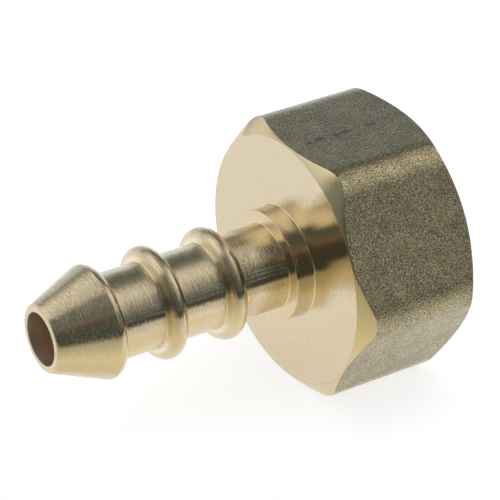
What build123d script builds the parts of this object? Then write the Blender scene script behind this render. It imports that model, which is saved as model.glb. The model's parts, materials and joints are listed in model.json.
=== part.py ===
"""One-piece brass hose tail.

A hexagon with a female parallel pipe thread steps down, through a short collar, to a
round shank. The shank carries two half-round beads and ends in a conical nose, and a
bore runs through it into the thread socket.

Frame: millimetres, the axis along X. The origin is on the axis at the flat seat in the
bottom of the thread socket. The socket opens towards +X, the nose points towards -X,
and the piece lies on one of its flats, so that two of its flats face +Z and -Z.
"""
import os
from math import cos, pi, radians, tan

from build123d import *

# Hexagon
across_flats = 25.0
hex_corner_radius = 3.4
hex_length = 13.2
hex_sides = 6

# Turned chamfers at both ends of the hexagon: the diameter where each meets its end
# face, and its angle from that face
front_face_diameter = 24.8
front_chamfer_angle = 38.0
mouth_face_diameter = 24.8
mouth_chamfer_angle = 34.5

# Female thread G 1/2: major diameter, pitch, and the standard's ratio of thread depth to
# pitch. The socket has the minor diameter; the helical groove is not cut.
thread_major = 20.955
thread_pitch = 1.814
thread_depth_ratio = 0.640327
socket_depth = 10.9

# Mouth countersink, opened out past the major diameter by a radial margin
countersink_margin = 0.2
countersink_angle = 45.0

# Collar where the shank leaves the hexagon
collar_diameter = 11.0
collar_length = 1.97

# Shank and its half-round beads, counted from the hexagon
shank_diameter = 8.38
bead_diameter = 10.98
bead_round = 0.93
bead_count = 2
first_bead_distance = 7.95
bead_pitch = 6.44

# Nose: a cone up to a crest, then a rounded shoulder back down to the shank. The crest
# stands one bead pitch in front of the last bead.
nose_diameter = 11.0
nose_crest_round = 0.4
nose_shoulder_round = 1.0
cone_length = 5.38
tip_diameter = 6.52

# Bore through the shank, with a small countersink where it enters the seat
bore_diameter = 5.12
bore_countersink = 0.4

# Places along the axis, worked out from the seat
seat = 0.0
hex_mouth = seat + socket_depth
hex_front = hex_mouth - hex_length
collar_front = hex_front - collar_length
bead_places = [hex_front - first_bead_distance - i * bead_pitch for i in range(bead_count)]
nose_crest = hex_front - first_bead_distance - bead_count * bead_pitch
tip = nose_crest - cone_length

# Radii
shank_radius = shank_diameter / 2
collar_radius = collar_diameter / 2
nose_radius = nose_diameter / 2
bead_centre = bead_diameter / 2 - bead_round
corner_reach = across_flats / 2 / cos(pi / hex_sides)
thread_minor = thread_major - 2 * thread_depth_ratio * thread_pitch
countersink_radius = thread_major / 2 + countersink_margin
countersink_depth = (countersink_radius - thread_minor / 2) / tan(radians(countersink_angle))


def chamfer_run(face_diameter, angle):
    """Length along the axis that a chamfer takes from its end face out to the corners."""
    return (corner_reach - face_diameter / 2) * tan(radians(angle))


with BuildPart() as hose_tail:
    # Hexagonal blank with soft corners
    with BuildSketch(Plane.YZ.offset(hex_front)):
        RegularPolygon(across_flats / 2, hex_sides, major_radius=False)
        fillet(vertices(), hex_corner_radius)
    extrude(amount=hex_length)

    # Both ends are turned back to their chamfers
    front_corner = hex_front + chamfer_run(front_face_diameter, front_chamfer_angle)
    mouth_corner = hex_mouth - chamfer_run(mouth_face_diameter, mouth_chamfer_angle)
    with BuildSketch(Plane.XZ):
        with BuildLine():
            Polyline(
                (hex_front, 0),
                (hex_front, front_face_diameter / 2),
                (front_corner, corner_reach),
                (mouth_corner, corner_reach),
                (hex_mouth, mouth_face_diameter / 2),
                (hex_mouth, 0),
                close=True,
            )
        make_face()
    revolve(axis=Axis.X, mode=Mode.INTERSECT)

    # Spigot turned in one profile: shank, collar, beads and nose
    with BuildSketch(Plane.XZ):
        with BuildLine():
            Polyline((nose_crest, 0), (nose_crest, shank_radius), (hex_front, shank_radius),
                     (hex_front, 0), close=True)
        make_face()
        with BuildLine():
            Polyline((collar_front, 0), (collar_front, collar_radius), (hex_front, collar_radius),
                     (hex_front, 0), close=True)
        make_face()
        for place in bead_places:
            with Locations((place, bead_centre)):
                Circle(bead_round)
            with Locations((place, 0)):
                Rectangle(2 * bead_round, bead_centre, align=(Align.CENTER, Align.MIN))
        with BuildLine():
            cone = Polyline((nose_crest, 0), (tip, 0), (tip, tip_diameter / 2),
                            (nose_crest, nose_radius))
            shoulder = JernArc(cone @ 1, (1, 0), nose_shoulder_round, -90)
            Polyline(shoulder @ 1, ((shoulder @ 1).X, 0), (nose_crest, 0))
        make_face()
        crest = vertices().sort_by_distance((nose_crest, nose_radius))[0]
        fillet(crest, nose_crest_round)
    revolve(axis=Axis.X)

    # Thread socket: flat seat, minor diameter, countersunk mouth
    with BuildSketch(Plane.XZ):
        with BuildLine():
            Polyline(
                (seat, 0),
                (seat, thread_minor / 2),
                (hex_mouth - countersink_depth, thread_minor / 2),
                (hex_mouth, countersink_radius),
                (hex_mouth, 0),
                close=True,
            )
        make_face()
    revolve(axis=Axis.X, mode=Mode.SUBTRACT)

    # Bore from the tip to the seat
    with BuildSketch(Plane.YZ.offset(tip)):
        Circle(bore_diameter / 2)
    extrude(amount=seat - tip, mode=Mode.SUBTRACT)
    bore_edge = faces().filter_by(Plane.YZ).sort_by_distance((seat, 0, 0))[0].inner_wires()[0].edges()
    chamfer(bore_edge, bore_countersink)

hose_tail.part.label = "hose_tail"
os.makedirs("parts", exist_ok=True)
export_step(hose_tail.part, "parts/hose_tail.step")
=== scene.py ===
"""Brass hose tail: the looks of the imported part.

One closed mesh of the part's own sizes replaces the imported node. It adds what is too fine
for the solid: the helical thread, the small rounds at roots and edges, and the grain of
the forged flats. Names that end in _mm are millimetres; Blender's own units are metres.
"""
import json
from math import acos, asin, atan, cos, hypot, pi, radians, sin, tan

import bmesh
import bpy
from mathutils import Matrix, Vector, noise


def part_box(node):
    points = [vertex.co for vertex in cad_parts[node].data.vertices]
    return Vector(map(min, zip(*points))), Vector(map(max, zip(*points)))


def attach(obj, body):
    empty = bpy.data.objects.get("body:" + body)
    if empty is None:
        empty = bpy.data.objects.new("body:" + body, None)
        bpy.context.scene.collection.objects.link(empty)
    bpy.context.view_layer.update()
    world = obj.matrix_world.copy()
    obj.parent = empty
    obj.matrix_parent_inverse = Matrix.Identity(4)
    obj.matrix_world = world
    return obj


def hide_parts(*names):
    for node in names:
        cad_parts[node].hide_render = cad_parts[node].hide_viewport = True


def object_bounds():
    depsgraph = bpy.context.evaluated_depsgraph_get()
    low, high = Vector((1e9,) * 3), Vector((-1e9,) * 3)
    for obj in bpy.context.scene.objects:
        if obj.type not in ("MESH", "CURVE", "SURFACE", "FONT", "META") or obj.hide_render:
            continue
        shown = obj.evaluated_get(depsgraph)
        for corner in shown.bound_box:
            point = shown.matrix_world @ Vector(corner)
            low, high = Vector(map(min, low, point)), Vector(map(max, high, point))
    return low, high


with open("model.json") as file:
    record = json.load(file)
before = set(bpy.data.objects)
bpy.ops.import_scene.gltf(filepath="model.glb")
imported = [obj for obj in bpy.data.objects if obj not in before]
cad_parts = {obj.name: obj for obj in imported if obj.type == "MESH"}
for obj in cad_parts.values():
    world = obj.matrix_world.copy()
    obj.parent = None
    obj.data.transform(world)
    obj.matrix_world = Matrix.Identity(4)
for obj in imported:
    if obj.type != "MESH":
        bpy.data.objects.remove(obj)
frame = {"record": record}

cad_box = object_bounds()
MM = 0.001

# ---------------------------------------------------------------- sizes, millimetres
# From the frame: the axis runs along X, the seat of the socket is at the origin
tail_low, tail_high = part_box("hose_tail")
tip = tail_low[0] / MM
hex_mouth = tail_high[0] / MM
across_flats = tail_high[2] / MM - tail_low[2] / MM
mounts = {mount["name"]: mount for mount in frame["record"]["mounts"]}
thread_minor_radius = mounts["thread_socket"]["dims"]["r_mm"]
countersink_start = mounts["thread_socket"]["dims"]["length_mm"]
bore_radius = mounts["flow_bore"]["dims"]["r_mm"]
seat = 0.0

# Hexagon
hex_length = 13.2
hex_front = hex_mouth - hex_length
hex_corner_radius = 3.4
front_face_radius = 12.4
front_chamfer_angle = radians(38.0)
mouth_face_radius = 12.4
mouth_chamfer_angle = radians(34.5)

# Spigot
collar_radius = 5.5
collar_length = 1.97
collar_front = hex_front - collar_length
shank_radius = 4.19
bead_radius = 5.49
bead_round = 0.93
bead_crown_gap = 0.01
first_bead_distance = 7.95
bead_pitch = 6.44
bead_places = (hex_front - first_bead_distance - bead_pitch, hex_front - first_bead_distance)
cone_length = 5.38
nose_crest = tip + cone_length
nose_radius = 5.5
nose_shoulder_length = 1.0
nose_shoulder_end = nose_crest + nose_shoulder_length
nose_shoulder_round = 0.91
tip_radius = 3.26

# Thread G 1/2, right-hand
thread_pitch = 1.814
thread_major_radius = 20.955 / 2
thread_full_from = 2.6
thread_fades_to = 1.2
thread_sharpness = 0.94
countersink_margin = 0.2
countersink_radius = thread_major_radius + countersink_margin
bore_countersink = 0.4

# Dents of the forged flats
dents_per_mm = 0.35
fine_dents_per_mm = 1.3
dent_depth = 0.02
fine_dent_depth = 0.008

# Rounds that the solid leaves out
root_round = 0.13
collar_root_round = 0.15
fine_round = 0.08
tip_round = 0.36
crest_round = 0.4
bore_edge_round = 0.04

# Mesh steps
flat_steps = 30
corner_steps = 12
flat_rows = 34
thread_steps = 192
thread_rows_per_pitch = 12
countersink_steps = 264
sharp_edge_angle = radians(28)


# ---------------------------------------------------------------- camera
camera_azimuth = radians(-33.153)
camera_elevation = radians(32.691)
camera_roll = radians(-1.597)
camera_distance_mm = 237.45
camera_target_mm = Vector((-6.104, 0.044, 2.355))
camera_focal_px = 2521.5
image_px = 500
sensor_mm = 36.0


def make_camera():
    """Long lens at the photograph's viewing angle, with no shift and no depth of field."""
    back = Vector((
        sin(camera_azimuth) * cos(camera_elevation),
        -cos(camera_azimuth) * cos(camera_elevation),
        sin(camera_elevation),
    ))
    level_right = Vector((0, 0, 1)).cross(back).normalized()
    level_up = back.cross(level_right)
    up = level_up * cos(camera_roll) + level_right * sin(camera_roll)
    right = up.cross(back)
    data = bpy.data.cameras.new("camera")
    data.sensor_width = sensor_mm
    data.lens = camera_focal_px * sensor_mm / image_px
    data.clip_start = 0.01
    camera = bpy.data.objects.new("camera", data)
    bpy.context.scene.collection.objects.link(camera)
    turn = Matrix((right, up, back)).transposed().to_4x4()
    place = (camera_target_mm + back * camera_distance_mm) * MM
    camera.matrix_world = Matrix.Translation(place) @ turn
    bpy.context.scene.camera = camera


# ---------------------------------------------------------------- node helpers
class Nodes:
    """Short way to write shader maths in one node tree."""

    def __init__(self, tree):
        self.tree = tree
        tree.nodes.clear()

    def add(self, kind, settings=None, **sockets):
        """Adds a node, sets its properties and its input sockets, and returns it."""
        node = self.tree.nodes.new(kind)
        for name, value in (settings or {}).items():
            setattr(node, name, value)
        for name, value in sockets.items():
            self.put(node.inputs[name.replace("_", " ")], value)
        return node

    def put(self, socket, value):
        """Links a socket to another, or sets its value."""
        if isinstance(value, bpy.types.NodeSocket):
            self.tree.links.new(value, socket)
        else:
            socket.default_value = value

    def math(self, operation, *values):
        """One maths node on up to three numbers."""
        node = self.tree.nodes.new("ShaderNodeMath")
        node.operation = operation
        for socket, value in zip(node.inputs, values):
            self.put(socket, value)
        return node.outputs[0]

    def ramp(self, value, low, high, low_out=0.0, high_out=1.0):
        """Smooth step of a number between two limits."""
        node = self.add("ShaderNodeMapRange", {"interpolation_type": "SMOOTHSTEP"})
        for socket, number in zip(node.inputs, (value, low, high, low_out, high_out)):
            self.put(socket, number)
        return node.outputs[0]

    def mix(self, factor, a, b):
        """Mix of two colours."""
        node = self.add("ShaderNodeMix", {"data_type": "RGBA"})
        self.put(node.inputs[0], factor)
        self.put(node.inputs[6], a)
        self.put(node.inputs[7], b)
        return node.outputs[2]

    def band(self, value, middle, half_width, soft):
        """Soft-edged band of a number around its middle."""
        off = self.math("ABSOLUTE", self.math("SUBTRACT", value, middle))
        return self.ramp(off, half_width + soft, half_width)

    def product(self, *factors):
        """Product of any number of factors."""
        result = factors[0]
        for factor in factors[1:]:
            result = self.math("MULTIPLY", result, factor)
        return result

    def scaled(self, colour, factor):
        """Colour times a number."""
        node = self.add("ShaderNodeVectorMath", {"operation": "SCALE"})
        vector = colour if isinstance(colour, bpy.types.NodeSocket) else colour[:3]
        self.put(node.inputs[0], vector)
        self.put(node.inputs["Scale"], factor)
        return node.outputs[0]

    def lightest(self, a, b):
        """The lighter of two colours, channel by channel."""
        node = self.add("ShaderNodeVectorMath", {"operation": "MAXIMUM"})
        self.put(node.inputs[0], a)
        self.put(node.inputs[1], b)
        return node.outputs[0]

    def dot(self, vector, direction):
        """Dot product with a fixed direction."""
        node = self.add("ShaderNodeVectorMath", {"operation": "DOT_PRODUCT"})
        self.put(node.inputs[0], vector)
        self.put(node.inputs[1], direction)
        return node.outputs["Value"]


# ---------------------------------------------------------------- studio
WHITE = (1.0, 1.0, 1.0, 1)
COOL_ROOM = (0.82, 0.97, 1.0, 1)
WARM_ROOM = (1.0, 0.84, 0.80, 1)
WALL_SHADE = (0.80, 0.89, 1.0, 1)
TABLE_SHADE = (1.0, 0.95, 0.74, 1)
STRIP_SHADE = (0.78, 0.69, 0.46, 1)
CARD_GREY = (0.42, 0.42, 0.42, 1)

# Backdrop that the camera sees, and the plain light on matt surfaces
backdrop_strength = 1.0
plain_light_strength = 0.85

# The studio's lights and surfaces. Three measures from -1 to 1 give a direction in it:
# across (to the right), toward (to the camera) and height. A pair of them is where a soft
# edge starts and ends, and a pair of strengths or shares is the values there; a band is
# its middle, half width and softness.
left_box_across = (-0.20, -0.50)
left_box_back = (-1.0, -0.30)
left_box_front = (0.46, 0.18)
left_box_height = (0.30, 0.75)
left_box_strength = (0.76, 1.20)

overhead_back = (-0.60, -0.48)
overhead_front = (0.42, 0.26)
overhead_height = (0.25, 0.50)
overhead_strength = 0.30
bright_part_across = (0.12, 0.50)
bright_part_toward = (0.55, -0.15)
bright_part_strength = 0.62

wall_toward = (0.0, -0.45)
wall_height = (0.62, 0.08)
wall_across = (-0.70, -0.05)
wall_share = (0.58, 1.0)
wall_strength = 1.08
far_left_across = (-0.58, -0.72)
far_left_share = 0.28

right_across = (0.30, 0.70)
near_table_height = (-0.03, -0.20)
near_table_strength = 0.52
low_table_height = (-0.15, -0.85)
low_table_strength = 0.35
right_table_share = 0.29

room_height = (0.38, 0.72)
room_strength = (0.085, 0.15)
behind_toward = (0.30, -0.20)
behind_height = (0.78, 0.55)
behind_strength = 0.09
beside_across = (0.55, 0.72)
beside_band = (0.42, 0.12, 0.12)
beside_strength = 0.065
panel_band = (0.68, 0.06, 0.04)
panel_toward = (0.45, 0.60)
panel_strength = 0.08
rail_heights = (0.47, 0.34, 0.16)
rail_half_width = 0.012
rail_soft = 0.015
rail_across = (0.45, 0.65)
rail_strength = 0.30
fringe_across = (-0.45, -0.70)
fringe_toward = (0.80, 0.42)
fringe_strength = 0.20
warm_height_band = (0.52, 0.12, 0.12)
warm_across_band = (0.0, 0.40, 0.20)
warm_toward = (0.30, 0.60)

# White card under the object
card_width_mm = 190.0
card_depth_mm = 125.0
card_front_mm = 22.0
card_lift_seen = 0.72
card_lift_mirrored = 0.71
warm_strip_mm = (11.0, 20.0)
warm_strip_right_mm = (14.0, 2.0)
dim_left_mm = (-8.0, -25.0)
dim_left_share = 0.12

# Lamp, in metres and watts
lamp_size = 0.35
lamp_power = 0.2
lamp_place = (0.05, 0.06, 0.5)
lamp_turn = (radians(-7), radians(6), 0)


def make_world():
    """White backdrop, with the studio that polished metal reflects around the object."""
    world = bpy.data.worlds.new("studio")
    bpy.context.scene.world = world
    world.use_nodes = True
    n = Nodes(world.node_tree)
    direction = n.add("ShaderNodeTexCoord").outputs["Generated"]
    heading = camera_azimuth
    across = n.dot(direction, (cos(heading), sin(heading), 0))
    toward = n.dot(direction, (sin(heading), -cos(heading), 0))
    height = n.dot(direction, (0, 0, 1))

    # Tall soft box on the left, from the table up to the zenith
    left_box = n.product(
        n.ramp(across, *left_box_across),
        n.ramp(toward, *left_box_back),
        n.ramp(toward, *left_box_front),
        n.ramp(height, *left_box_height, *left_box_strength),
    )

    # Soft box overhead, brightest to the right, with a crisp edge at the back
    bright_part = n.product(n.ramp(across, *bright_part_across),
                            n.ramp(toward, *bright_part_toward), bright_part_strength)
    overhead_box = n.product(
        n.ramp(toward, *overhead_back),
        n.ramp(toward, *overhead_front),
        n.ramp(height, *overhead_height),
        n.math("ADD", bright_part, overhead_strength),
    )
    boxes = n.math("MAXIMUM", left_box, overhead_box)

    # Wall behind, lit near the table
    far_left = n.ramp(across, *far_left_across)
    wall = n.product(
        n.ramp(toward, *wall_toward),
        n.ramp(height, *wall_height),
        n.math("ADD", n.ramp(across, *wall_across, *wall_share),
               n.product(far_left, far_left_share)),
        wall_strength,
    )

    # Table beyond the white card, lighter below and to the right
    right = n.ramp(across, *right_across)
    table = n.math("ADD", n.ramp(height, *near_table_height, 0.0, near_table_strength),
                   n.ramp(height, *low_table_height, 0.0, low_table_strength))
    table = n.math("MULTIPLY", table, n.math("MULTIPLY_ADD", right, right_table_share, 1.0))

    # Dim room around the camera, with a panel, three thin rails and a lit left fringe in it
    room = n.ramp(height, *room_height, *room_strength)
    behind = n.product(n.ramp(toward, *behind_toward), n.ramp(height, *behind_height),
                       behind_strength)
    beside = n.product(n.ramp(across, *beside_across), n.band(height, *beside_band),
                       beside_strength)
    panel = n.product(n.band(height, *panel_band), n.ramp(toward, *panel_toward),
                      panel_strength)
    rails = n.band(height, rail_heights[0], rail_half_width, rail_soft)
    for rail_height in rail_heights[1:]:
        rails = n.math("MAXIMUM", rails,
                       n.band(height, rail_height, rail_half_width, rail_soft))
    rails = n.product(rails, n.ramp(across, *rail_across), rail_strength)
    fringe = n.product(n.ramp(across, *fringe_across), n.ramp(toward, *fringe_toward),
                       fringe_strength)
    room = n.math("ADD", n.math("ADD", room, behind), n.math("ADD", panel, rails))
    room = n.math("ADD", room, n.math("ADD", beside, fringe))
    warm = n.product(n.band(height, *warm_height_band), n.band(across, *warm_across_band),
                     n.ramp(toward, *warm_toward))

    colour = n.scaled(n.mix(warm, COOL_ROOM, WARM_ROOM), room)
    colour = n.lightest(colour, n.scaled(n.mix(right, TABLE_SHADE, WHITE), table))
    colour = n.lightest(colour, n.scaled(n.mix(far_left, WALL_SHADE, WHITE), wall))
    colour = n.lightest(colour, n.scaled(WHITE, boxes))
    studio = n.add("ShaderNodeBackground", Color=colour, Strength=1.0)

    plain = n.add("ShaderNodeBackground", Color=WHITE, Strength=plain_light_strength)
    backdrop = n.add("ShaderNodeBackground", Color=WHITE, Strength=backdrop_strength)
    path = n.add("ShaderNodeLightPath").outputs
    mirrored = n.math("MAXIMUM", path["Is Glossy Ray"], path["Is Transmission Ray"])
    light = n.add("ShaderNodeMixShader", Fac=mirrored)
    n.put(light.inputs[1], plain.outputs[0])
    n.put(light.inputs[2], studio.outputs[0])
    shown = n.add("ShaderNodeMixShader", Fac=path["Is Camera Ray"])
    n.put(shown.inputs[1], light.outputs[0])
    n.put(shown.inputs[2], backdrop.outputs[0])
    n.add("ShaderNodeOutputWorld", Surface=shown.outputs[0])


def card_material(back_from_axis):
    """Card that glows a little, with a warm strip and a dim left end in its mirror image."""
    material = bpy.data.materials.new("white_card")
    material.use_nodes = True
    n = Nodes(material.node_tree)
    path = n.add("ShaderNodeLightPath").outputs
    mirrored = n.math("MAXIMUM", path["Is Glossy Ray"], path["Is Transmission Ray"])
    lift = n.math("MAXIMUM", n.math("MULTIPLY", path["Is Camera Ray"], card_lift_seen),
                  n.math("MULTIPLY", mirrored, card_lift_mirrored))
    diffuse = n.add("ShaderNodeBsdfDiffuse", Color=CARD_GREY)
    sheet_mm = n.add("ShaderNodeVectorMath", {"operation": "MULTIPLY"})
    n.put(sheet_mm.inputs[0], n.add("ShaderNodeTexCoord").outputs["Object"])
    n.put(sheet_mm.inputs[1], (card_width_mm, card_depth_mm, 0))
    on_sheet = n.add("ShaderNodeSeparateXYZ", Vector=sheet_mm.outputs[0]).outputs
    before_axis = n.math("SUBTRACT", -back_from_axis / MM, on_sheet[1])
    strip = n.product(n.ramp(before_axis, *warm_strip_mm),
                      n.ramp(on_sheet[0], *warm_strip_right_mm), mirrored)
    dim_left = n.product(n.ramp(on_sheet[0], *dim_left_mm), mirrored, dim_left_share)
    tint = n.scaled(n.mix(strip, WHITE, STRIP_SHADE), n.math("SUBTRACT", 1.0, dim_left))
    glow = n.add("ShaderNodeEmission", Color=tint, Strength=lift)
    both = n.add("ShaderNodeAddShader")
    n.put(both.inputs[0], diffuse.outputs[0])
    n.put(both.inputs[1], glow.outputs[0])
    n.add("ShaderNodeOutputMaterial", Surface=both.outputs[0])
    return material


def make_card():
    """White card under the object, which keeps its soft shadow."""
    mesh = bpy.data.meshes.new("white_card")
    sheet = bmesh.new()
    bmesh.ops.create_grid(sheet, x_segments=1, y_segments=1, size=0.5)
    sheet.to_mesh(mesh)
    sheet.free()
    card = bpy.data.objects.new("white_card", mesh)
    card.scale = (card_width_mm * MM, card_depth_mm * MM, 1)
    back_from_axis = (card_depth_mm / 2 - card_front_mm) * MM
    card.location = (
        -sin(camera_azimuth) * back_from_axis, cos(camera_azimuth) * back_from_axis,
        cad_box[0][2],
    )
    card.rotation_euler = (0, 0, camera_azimuth)
    bpy.context.scene.collection.objects.link(card)
    mesh.materials.append(card_material(back_from_axis))


def make_lamp():
    """Soft lamp overhead that gives the card its faint shadow; metal doesn't mirror it."""
    data = bpy.data.lights.new("soft_lamp", "AREA")
    data.shape = "DISK"
    data.size = lamp_size
    data.energy = lamp_power
    lamp = bpy.data.objects.new("soft_lamp", data)
    lamp.location = lamp_place
    lamp.rotation_euler = lamp_turn
    lamp.visible_glossy = False
    lamp.visible_camera = False
    bpy.context.scene.collection.objects.link(lamp)


# ---------------------------------------------------------------- materials
BRASS = (0.72, 0.61, 0.41, 1)
BRASS_CHAMFERED = (0.68, 0.57, 0.34, 1)
BRASS_FACED = (0.71, 0.62, 0.45, 1)
BRASS_WORN = (0.69, 0.56, 0.34, 1)
# Pale colour for the roots by the shank: a painted highlight
BRASS_ROOT_HIGHLIGHT = (0.93, 0.85, 0.67, 1)
# Bore colours: painted shade near the tip's edge, and painted light, lighter and more orange,
# deeper in
BORE_EDGE_PAINTED_SHADE = (0.46, 0.38, 0.31, 1)
BORE_DEEP_PAINTED_LIGHT = (0.84, 0.62, 0.42, 1)
# Brighter colour of the upper and lower hex corners: a painted highlight
BRASS_CORNER_HIGHLIGHT = (0.49, 0.41, 0.25, 1)
FORGED_BRASS = (0.39, 0.338, 0.205, 1)

# Turned finish: ring noise as (per mm, stretch), places in millimetres
ring_slant = 1.4
groove_rings = (9.5, 0.5)
scratch_rings = (9.0, 1.6)
scratch_share = 0.5
groove_depth_mm = 0.035
finer_finish_mm = (-9.0, -7.0)
finer_groove_cut = 0.65
finer_hatch_cut = 0.7
worn_above = (0.40, 0.75)
hatch_above = (0.52, 0.68)
hatch_on_cone = 1.0
hatch_past_cone = 0.28
crest_soft_mm = 0.3
turned_roughness = 0.07
hatch_roughness = 0.34
face_roughness = 0.03
face_starts_mm = (collar_radius, collar_radius + 0.3)
chamfer_starts_mm = (front_face_radius, front_face_radius + 0.1)
face_rim_band_mm = (front_face_radius, 0.03, 0.05)
face_rim_front_mm = (0.0, -0.5)
face_rim_share = 0.12
# Where the painted highlight at the roots by the shank lies, and its share
root_starts_mm = (shank_radius + 0.02, shank_radius + 0.10)
root_ends_mm = (shank_radius + 0.75, shank_radius + 0.25)
root_before_collar_mm = (collar_front, collar_front - 0.3)
root_highlight_share = 0.75

# Bore
bore_rings = (3.0, 0.6)
bore_mark_depth_mm = 0.02
# Where the bore's painted shade turns into its painted light
bore_edge_mm = (tip + 0.2, tip + 2.2)
bore_roughness = 0.48

# Forged finish
top_mm = (12.3, 12.42)
# Painted shade that darkens the whole top flat
top_shade_share = 0.20
corner_starts_mm = (13.35, 13.65)
# Painted highlight on the upper and lower corners and painted shade on those at mid height, by
# height above or below the axis
corner_highlight_height_mm = (3.0, 8.0)
corner_highlight_share = (0.2, 1.0)
corner_shade_height_mm = (8.0, 3.0)
corner_shade_share = 0.16
grain_depth_mm = 0.10
corner_highlight_grain_cut = 0.45
speck_range = (0.36, 0.64)
speck_tone = (0.52, 1.5)
broad_range = (0.3, 0.7)
broad_tone = (0.9, 1.1)
scuff_band_mm = (-0.25, 0.1, 0.35)
scuffs_per_mm = 1.3
scuff_range = (0.50, 0.58)
scuff_share = 0.55
forged_roughness = 0.27
corner_highlight_roughness_cut = 0.03


def object_mm(n):
    """Object coordinates in millimetres, split, with the distance from the axis."""
    place = n.add("ShaderNodeTexCoord").outputs["Object"]
    scaled = n.add("ShaderNodeVectorMath", {"operation": "SCALE"})
    n.put(scaled.inputs[0], place)
    n.put(scaled.inputs["Scale"], 1 / MM)
    parts = n.add("ShaderNodeSeparateXYZ", Vector=scaled.outputs[0])
    x, y, z = parts.outputs
    radius = n.math("SQRT", n.math("ADD", n.math("MULTIPLY", y, y), n.math("MULTIPLY", z, z)))
    return scaled.outputs[0], x, y, z, radius


def rings(n, x, y, z, radius, per_mm, stretch):
    """Noise that runs in rings around the axis, broken up along each ring by the stretch."""
    along = n.math("MULTIPLY_ADD", radius, ring_slant, x)
    place = n.add("ShaderNodeCombineXYZ")
    n.put(place.inputs[0], n.math("MULTIPLY", along, per_mm))
    n.put(place.inputs[1], n.math("MULTIPLY", y, stretch))
    n.put(place.inputs[2], n.math("MULTIPLY", z, stretch))
    noise_node = n.add("ShaderNodeTexNoise", Vector=place.outputs[0], Scale=1.0, Detail=2.0,
                       Roughness=0.6)
    return noise_node.outputs[0]


def turned_brass():
    """Bright brass with the fine grooves that the lathe leaves around the axis."""
    material = bpy.data.materials.new("turned_brass")
    material.use_nodes = True
    n = Nodes(material.node_tree)
    _, x, y, z, radius = object_mm(n)
    fine_finish = n.ramp(x, *finer_finish_mm)

    # Grooves, finer next to the hexagon
    grooves = rings(n, x, y, z, radius, *groove_rings)
    scratches = rings(n, x, y, z, radius, *scratch_rings)
    relief = n.math("MULTIPLY_ADD", scratches, scratch_share, grooves)
    depth = n.math("MULTIPLY_ADD", fine_finish, -finer_groove_cut, 1.0)
    bump = n.add("ShaderNodeBump", Height=relief, Strength=depth, Distance=groove_depth_mm * MM)

    # Tone of each region: worn rings, hexagon's face and its rim, chamfers, and a painted
    # highlight at the roots by the shank
    on_face = n.ramp(radius, *face_starts_mm)
    colour = n.mix(n.ramp(scratches, *worn_above), n.mix(on_face, BRASS, BRASS_FACED),
                   BRASS_WORN)
    colour = n.mix(n.ramp(radius, *chamfer_starts_mm), colour, BRASS_CHAMFERED)
    face_rim = n.product(n.band(radius, *face_rim_band_mm), n.ramp(x, *face_rim_front_mm),
                         face_rim_share)
    colour = n.scaled(colour, n.math("SUBTRACT", 1.0, face_rim))
    # Painted highlight: a pale colour along the roots by the shank stands in for the bright
    # line that their small rounds mirror
    root_painted_highlight = n.product(
        n.ramp(radius, *root_starts_mm),
        n.ramp(radius, *root_ends_mm),
        n.ramp(x, nose_crest, nose_crest + crest_soft_mm),
        n.ramp(x, *root_before_collar_mm),
        root_highlight_share,
    )
    colour = n.mix(root_painted_highlight, colour, BRASS_ROOT_HIGHLIGHT)

    # Hatched scratches scatter the mirror image, most of all on the cone
    hatch = n.product(
        n.ramp(scratches, *hatch_above),
        n.math("MULTIPLY_ADD", fine_finish, -finer_hatch_cut, 1.0),
        n.ramp(x, nose_crest - crest_soft_mm, nose_crest + crest_soft_mm,
               hatch_on_cone, hatch_past_cone),
    )
    rough = n.math("MULTIPLY_ADD", on_face, face_roughness,
                   n.math("MULTIPLY_ADD", hatch, hatch_roughness, turned_roughness))
    around = n.add("ShaderNodeTangent", {"direction_type": "RADIAL", "axis": "X"})
    shader = n.add("ShaderNodeBsdfPrincipled", Base_Color=colour, Metallic=1.0,
                   Roughness=rough, Normal=bump.outputs[0], Anisotropic=0.75,
                   Anisotropic_Rotation=0.25, Tangent=around.outputs[0])
    n.add("ShaderNodeOutputMaterial", Surface=shader.outputs[0])
    return material


def bore_brass():
    """Dull reddish brass of the drilled bore, with painted shade near the tip and painted light
    deeper in.
    """
    material = bpy.data.materials.new("bore_brass")
    material.use_nodes = True
    n = Nodes(material.node_tree)
    _, x, y, z, radius = object_mm(n)
    marks = rings(n, x, y, z, radius, *bore_rings)
    bump = n.add("ShaderNodeBump", Height=marks, Strength=1.0,
                 Distance=bore_mark_depth_mm * MM)
    # Painted shade near the tip's edge, painted light deeper in the bore
    colour = n.mix(n.ramp(x, *bore_edge_mm), BORE_EDGE_PAINTED_SHADE, BORE_DEEP_PAINTED_LIGHT)
    shader = n.add("ShaderNodeBsdfPrincipled", Base_Color=colour, Metallic=1.0,
                   Roughness=bore_roughness, Normal=bump.outputs[0])
    n.add("ShaderNodeOutputMaterial", Surface=shader.outputs[0])
    return material


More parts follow.
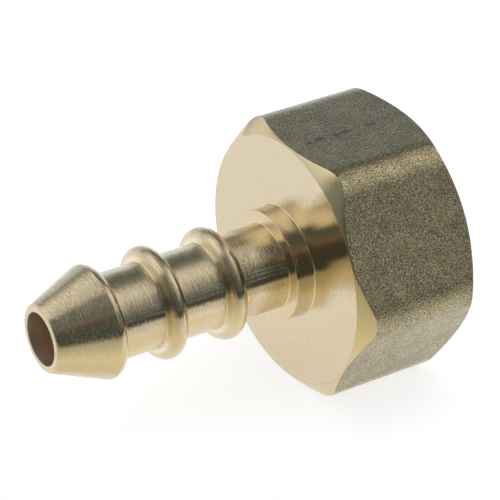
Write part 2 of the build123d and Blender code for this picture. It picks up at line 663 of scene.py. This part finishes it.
def forged_brass():
    """Dull brass with the fine grain that forging and shot blasting leave."""
    material = bpy.data.materials.new("forged_brass")
    material.use_nodes = True
    n = Nodes(material.node_tree)
    place, _, y, z, radius = object_mm(n)
    grain = n.add("ShaderNodeTexNoise", Vector=place, Scale=5.5, Detail=2.0, Roughness=0.7)
    specks = n.add("ShaderNodeTexNoise", Vector=place, Scale=8.0, Detail=1.0, Roughness=0.6)
    broad = n.add("ShaderNodeTexNoise", Vector=place, Scale=0.6, Detail=2.0)
    scuffs = n.add("ShaderNodeTexNoise", Vector=place, Scale=scuffs_per_mm, Detail=1.0)

    # The upper and lower corners get a painted highlight, a brighter colour, with less grain
    # and roughness; those at mid height get painted shade
    from_middle = n.math("ABSOLUTE", z)
    corner = n.ramp(radius, *corner_starts_mm)
    corner_highlight = n.product(corner, n.ramp(from_middle, *corner_highlight_height_mm, *corner_highlight_share))
    corner_shade = n.product(corner, n.ramp(from_middle, *corner_shade_height_mm), corner_shade_share)

    coarseness = n.math("MULTIPLY_ADD", corner_highlight, -corner_highlight_grain_cut, 1.0)
    bump = n.add("ShaderNodeBump", Height=grain.outputs[0], Strength=coarseness,
                 Distance=grain_depth_mm * MM)

    # Specks all over, a line of scuffs along the top flat, and painted shade on the top flat
    # and on the corners at mid height
    on_top = n.ramp(z, *top_mm)
    scuff = n.product(n.band(y, *scuff_band_mm), on_top,
                      n.ramp(scuffs.outputs[0], *scuff_range), scuff_share)
    tone = n.product(
        n.ramp(specks.outputs[0], *speck_range, *speck_tone),
        n.ramp(broad.outputs[0], *broad_range, *broad_tone),
        n.math("SUBTRACT", 1.0, scuff),
        n.math("SUBTRACT", 1.0, corner_shade),
        n.math("MULTIPLY_ADD", on_top, -top_shade_share, 1.0),
    )
    # Painted highlight: the upper and lower corners take the brighter colour
    colour = n.scaled(n.mix(corner_highlight, FORGED_BRASS, BRASS_CORNER_HIGHLIGHT), tone)
    rough = n.math("MULTIPLY_ADD", corner_highlight, -corner_highlight_roughness_cut, forged_roughness)
    shader = n.add("ShaderNodeBsdfPrincipled", Base_Color=colour, Metallic=1.0,
                   Roughness=rough, Normal=bump.outputs[0])
    n.add("ShaderNodeOutputMaterial", Surface=shader.outputs[0])
    return material


# ---------------------------------------------------------------- mesh
TURNED, FORGED, BORED = 0, 1, 2


def hex_radius(angle):
    """Distance from the axis to the hexagon's outline in this direction."""
    from_flat = abs(angle % (pi / 3) - pi / 6)
    apothem = across_flats / 2
    inner = apothem - hex_corner_radius
    half_flat = inner * tan(pi / 6)
    if from_flat <= atan(half_flat / apothem):
        return apothem / cos(from_flat)
    reach = hypot(inner, half_flat)
    off = pi / 6 - from_flat
    return reach * cos(off) + (hex_corner_radius ** 2 - (reach * sin(off)) ** 2) ** 0.5


def rounded(corners):
    """Closed outline through the corners, each given its round and a number of steps.

    Each corner is (x, r, round, steps, region, rows): region names the surface that runs
    on to the next corner, and rows the steps along it.
    """
    outline = []
    count = len(corners)
    for i, (x, r, size, steps, region, rows) in enumerate(corners):
        here = Vector((x, r))
        before = Vector(corners[i - 1][:2])
        after = Vector(corners[(i + 1) % count][:2])
        if size == 0:
            points = [here]
        else:
            to_before = (before - here).normalized()
            to_after = (after - here).normalized()
            half = acos(max(-1, min(1, to_before.dot(to_after)))) / 2
            centre = here + (to_before + to_after).normalized() * size / sin(half)
            start = here + to_before * size / tan(half)
            sweep = pi - 2 * half
            side = 1 if to_before.cross(to_after) > 0 else -1
            arm = start - centre
            points = []
            for step in range(steps + 1):
                turn = -side * sweep * step / steps
                points.append(centre + Vector((
                    arm.x * cos(turn) - arm.y * sin(turn),
                    arm.x * sin(turn) + arm.y * cos(turn),
                )))
        outline.append((points, region, rows))
    result = []
    for i, (points, region, rows) in enumerate(outline):
        region_before = outline[i - 1][1]
        # A round is finished like the surface before it, or like the next after a forged one
        for point in points[:-1]:
            result.append((point, region_before if region_before != FORGED else region))
        last = points[-1]
        following = outline[(i + 1) % count][0][0]
        for row in range(rows):
            result.append((last.lerp(following, row / rows), region))
    return result


def profile(angle):
    """Corners of the outline in the half plane through the axis in this direction."""
    reach = hex_radius(angle)
    front_edge = hex_front + (reach - front_face_radius) * tan(front_chamfer_angle)
    mouth_edge = hex_mouth - (reach - mouth_face_radius) * tan(mouth_chamfer_angle)
    wide_bore = bore_radius + bore_countersink
    crown_round = bead_round - bead_crown_gap
    corners = [
        (hex_mouth, wide_bore, 0, 0, TURNED, 1),
        (seat, wide_bore, 0, 0, TURNED, 1),
        (seat - bore_countersink, bore_radius, 0, 0, BORED, 12),
        (tip, bore_radius, bore_edge_round, 2, TURNED, 1),
        (tip, tip_radius, tip_round, 5, TURNED, 8),
        (nose_crest, nose_radius, crest_round, 5, TURNED, 1),
        (nose_shoulder_end, nose_radius, nose_shoulder_round, 10, TURNED, 1),
        (nose_shoulder_end, shank_radius, root_round, 5, TURNED, 4),
    ]
    for place in bead_places:
        corners += [
            (place - bead_round, shank_radius, root_round, 5, TURNED, 1),
            (place - bead_round, bead_radius, crown_round, 10, TURNED, 1),
            (place + bead_round, bead_radius, crown_round, 10, TURNED, 1),
            (place + bead_round, shank_radius, root_round, 5, TURNED, 4),
        ]
    corners += [
        (collar_front, shank_radius, root_round, 5, TURNED, 1),
        (collar_front, collar_radius, fine_round, 4, TURNED, 2),
        (hex_front, collar_radius, collar_root_round, 4, TURNED, 6),
        (hex_front, front_face_radius, fine_round, 3, TURNED, 2),
        (front_edge, reach, fine_round, 3, FORGED, flat_rows),
        (mouth_edge, reach, fine_round, 3, TURNED, 2),
        (hex_mouth, mouth_face_radius, fine_round, 3, TURNED, 3),
    ]
    return rounded(corners)


def angles_around():
    """Angles of the mesh's columns, with one on each end of every corner's round."""
    inner = across_flats / 2 - hex_corner_radius
    flat_end = atan(inner * tan(pi / 6) / (across_flats / 2))
    angles = []
    for side in range(6):
        middle = pi / 6 + side * pi / 3
        for step in range(flat_steps):
            angles.append(middle + flat_end * (2 * step / flat_steps - 1))
        for step in range(corner_steps):
            share = step / corner_steps
            angles.append(middle + flat_end + (pi / 3 - 2 * flat_end) * share)
    return angles


def forged_dent(place):
    """Depth below the flat that the grain of the forging reaches at a place, in mm."""
    broad = noise.noise(place * dents_per_mm)
    fine = noise.noise(place * fine_dents_per_mm)
    return dent_depth + dent_depth * broad + fine_dent_depth * fine


def body_mesh():
    """The whole outside with the bore, closed, and the socket not yet cut."""
    mesh = bmesh.new()
    columns = []
    for angle in angles_around():
        column = []
        points = profile(angle)
        for i, (point, region) in enumerate(points):
            radius = point.y
            inside_flat = region == FORGED and points[i - 1][1] == FORGED
            if inside_flat:
                there = Vector((point.x, radius * cos(angle), radius * sin(angle)))
                radius -= forged_dent(there)
            place = Vector((point.x, radius * cos(angle), radius * sin(angle))) * MM
            column.append((mesh.verts.new(place), region))
        columns.append(column)
    rows = len(columns[0])
    for column, following in zip(columns, columns[1:] + columns[:1]):
        for row in range(rows):
            ahead = (row + 1) % rows
            face = mesh.faces.new((
                column[row][0], column[ahead][0], following[ahead][0], following[row][0],
            ))
            face.material_index = column[row][1]
    return mesh


def thread_radius(x, turns):
    """Radius of the male screw that cuts the thread, at a place and a share of a pitch."""
    wave = asin(thread_sharpness * sin(2 * pi * turns)) / asin(thread_sharpness)
    middle = (thread_major_radius + thread_minor_radius) / 2
    depth = thread_major_radius - thread_minor_radius
    fade = min(1, max(0, (x - thread_fades_to) / (thread_full_from - thread_fades_to)))
    full = middle + wave * depth / 2
    return thread_minor_radius + (full - thread_minor_radius) * fade


def screw_mesh():
    """Closed male screw from the seat out past the mouth, on rows that follow the helix."""
    mesh = bmesh.new()
    below = 2 * thread_pitch
    beyond = 2 * thread_pitch
    past_mouth = 1.0
    row_count = int((hex_mouth + below + beyond) / thread_pitch) * thread_rows_per_pitch
    columns = []
    for step in range(thread_steps):
        angle = 2 * pi * step / thread_steps
        column = []
        for row in range(row_count + thread_rows_per_pitch + 1):
            turns = row / thread_rows_per_pitch
            x = -below + (turns + step / thread_steps) * thread_pitch
            radius = thread_radius(x, turns)
            place = Vector((x, radius * cos(angle), radius * sin(angle))) * MM
            column.append(mesh.verts.new(place))
        columns.append(column)
    for step in range(thread_steps):
        column = columns[step]
        for row in range(row_count):
            if step + 1 < thread_steps:
                right = columns[step + 1][row]
                right_up = columns[step + 1][row + 1]
            else:
                right = columns[0][row + thread_rows_per_pitch]
                right_up = columns[0][row + 1 + thread_rows_per_pitch]
            mesh.faces.new((column[row], column[row + 1], right_up, right))
    loose = [vert for vert in mesh.verts if not vert.link_faces]
    bmesh.ops.delete(mesh, geom=loose, context="VERTS")
    for limit, outward in ((seat, -1), (hex_mouth + past_mouth, 1)):
        geometry = mesh.verts[:] + mesh.edges[:] + mesh.faces[:]
        cut = bmesh.ops.bisect_plane(
            mesh, geom=geometry, dist=1e-9, plane_co=(limit * MM, 0, 0),
            plane_no=(outward, 0, 0), clear_outer=True,
        )
        edges = [edge for edge in cut["geom_cut"] if isinstance(edge, bmesh.types.BMEdge)]
        bmesh.ops.edgeloop_fill(mesh, edges=edges)
    bmesh.ops.recalc_face_normals(mesh, faces=mesh.faces[:])
    return mesh


def countersink_mesh():
    """Closed cone that opens the mouth of the socket."""
    mesh = bmesh.new()
    into_socket = 0.5
    beyond = 1.0
    start = Vector((countersink_start, thread_minor_radius))
    slope = (countersink_radius - thread_minor_radius) / (hex_mouth - countersink_start)
    inner = start - Vector((1, slope)) * into_socket
    outer = Vector((hex_mouth, countersink_radius)) + Vector((1, slope)) * beyond
    ends = []
    for point in (inner, outer):
        end = []
        for step in range(countersink_steps):
            angle = 2 * pi * step / countersink_steps
            end.append(mesh.verts.new(Vector((
                point.x, point.y * cos(angle), point.y * sin(angle),
            )) * MM))
        ends.append(end)
    narrow, wide = ends
    for step in range(countersink_steps):
        ahead = (step + 1) % countersink_steps
        mesh.faces.new((narrow[step], narrow[ahead], wide[ahead], wide[step]))
    mesh.faces.new(narrow)
    mesh.faces.new(wide)
    bmesh.ops.recalc_face_normals(mesh, faces=mesh.faces[:])
    return mesh


def as_object(name, mesh, materials):
    """Object from a bmesh, with its materials."""
    data = bpy.data.meshes.new(name)
    mesh.to_mesh(data)
    mesh.free()
    for material in materials:
        data.materials.append(material)
    made = bpy.data.objects.new(name, data)
    bpy.context.scene.collection.objects.link(made)
    return made


def cut_away(target, cutter):
    """Takes the cutter out of the target and deletes the cutter."""
    modifier = target.modifiers.new("cut", "BOOLEAN")
    modifier.operation = "DIFFERENCE"
    modifier.solver = "MANIFOLD"
    modifier.object = cutter
    bpy.context.view_layer.objects.active = target
    with bpy.context.temp_override(object=target, active_object=target):
        bpy.ops.object.modifier_apply(modifier=modifier.name)
    bpy.data.objects.remove(cutter)


def make_hose_tail():
    """The visible hose tail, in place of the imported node."""
    materials = (turned_brass(), forged_brass(), bore_brass())
    body = body_mesh()
    bmesh.ops.recalc_face_normals(body, faces=body.faces[:])
    tail = as_object("hose_tail_brass", body, materials)
    cut_away(tail, as_object("screw", screw_mesh(), materials))
    cut_away(tail, as_object("countersink", countersink_mesh(), materials))
    finished = bmesh.new()
    finished.from_mesh(tail.data)
    for face in finished.faces:
        face.smooth = True
    for edge in finished.edges:
        edge.smooth = not edge.is_manifold or edge.calc_face_angle() < sharp_edge_angle
    finished.to_mesh(tail.data)
    finished.free()
    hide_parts("hose_tail")
    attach(tail, "root")
    return tail


make_camera()
make_world()
make_card()
make_lamp()
make_hose_tail()
bpy.context.scene.view_settings.view_transform = "Standard"
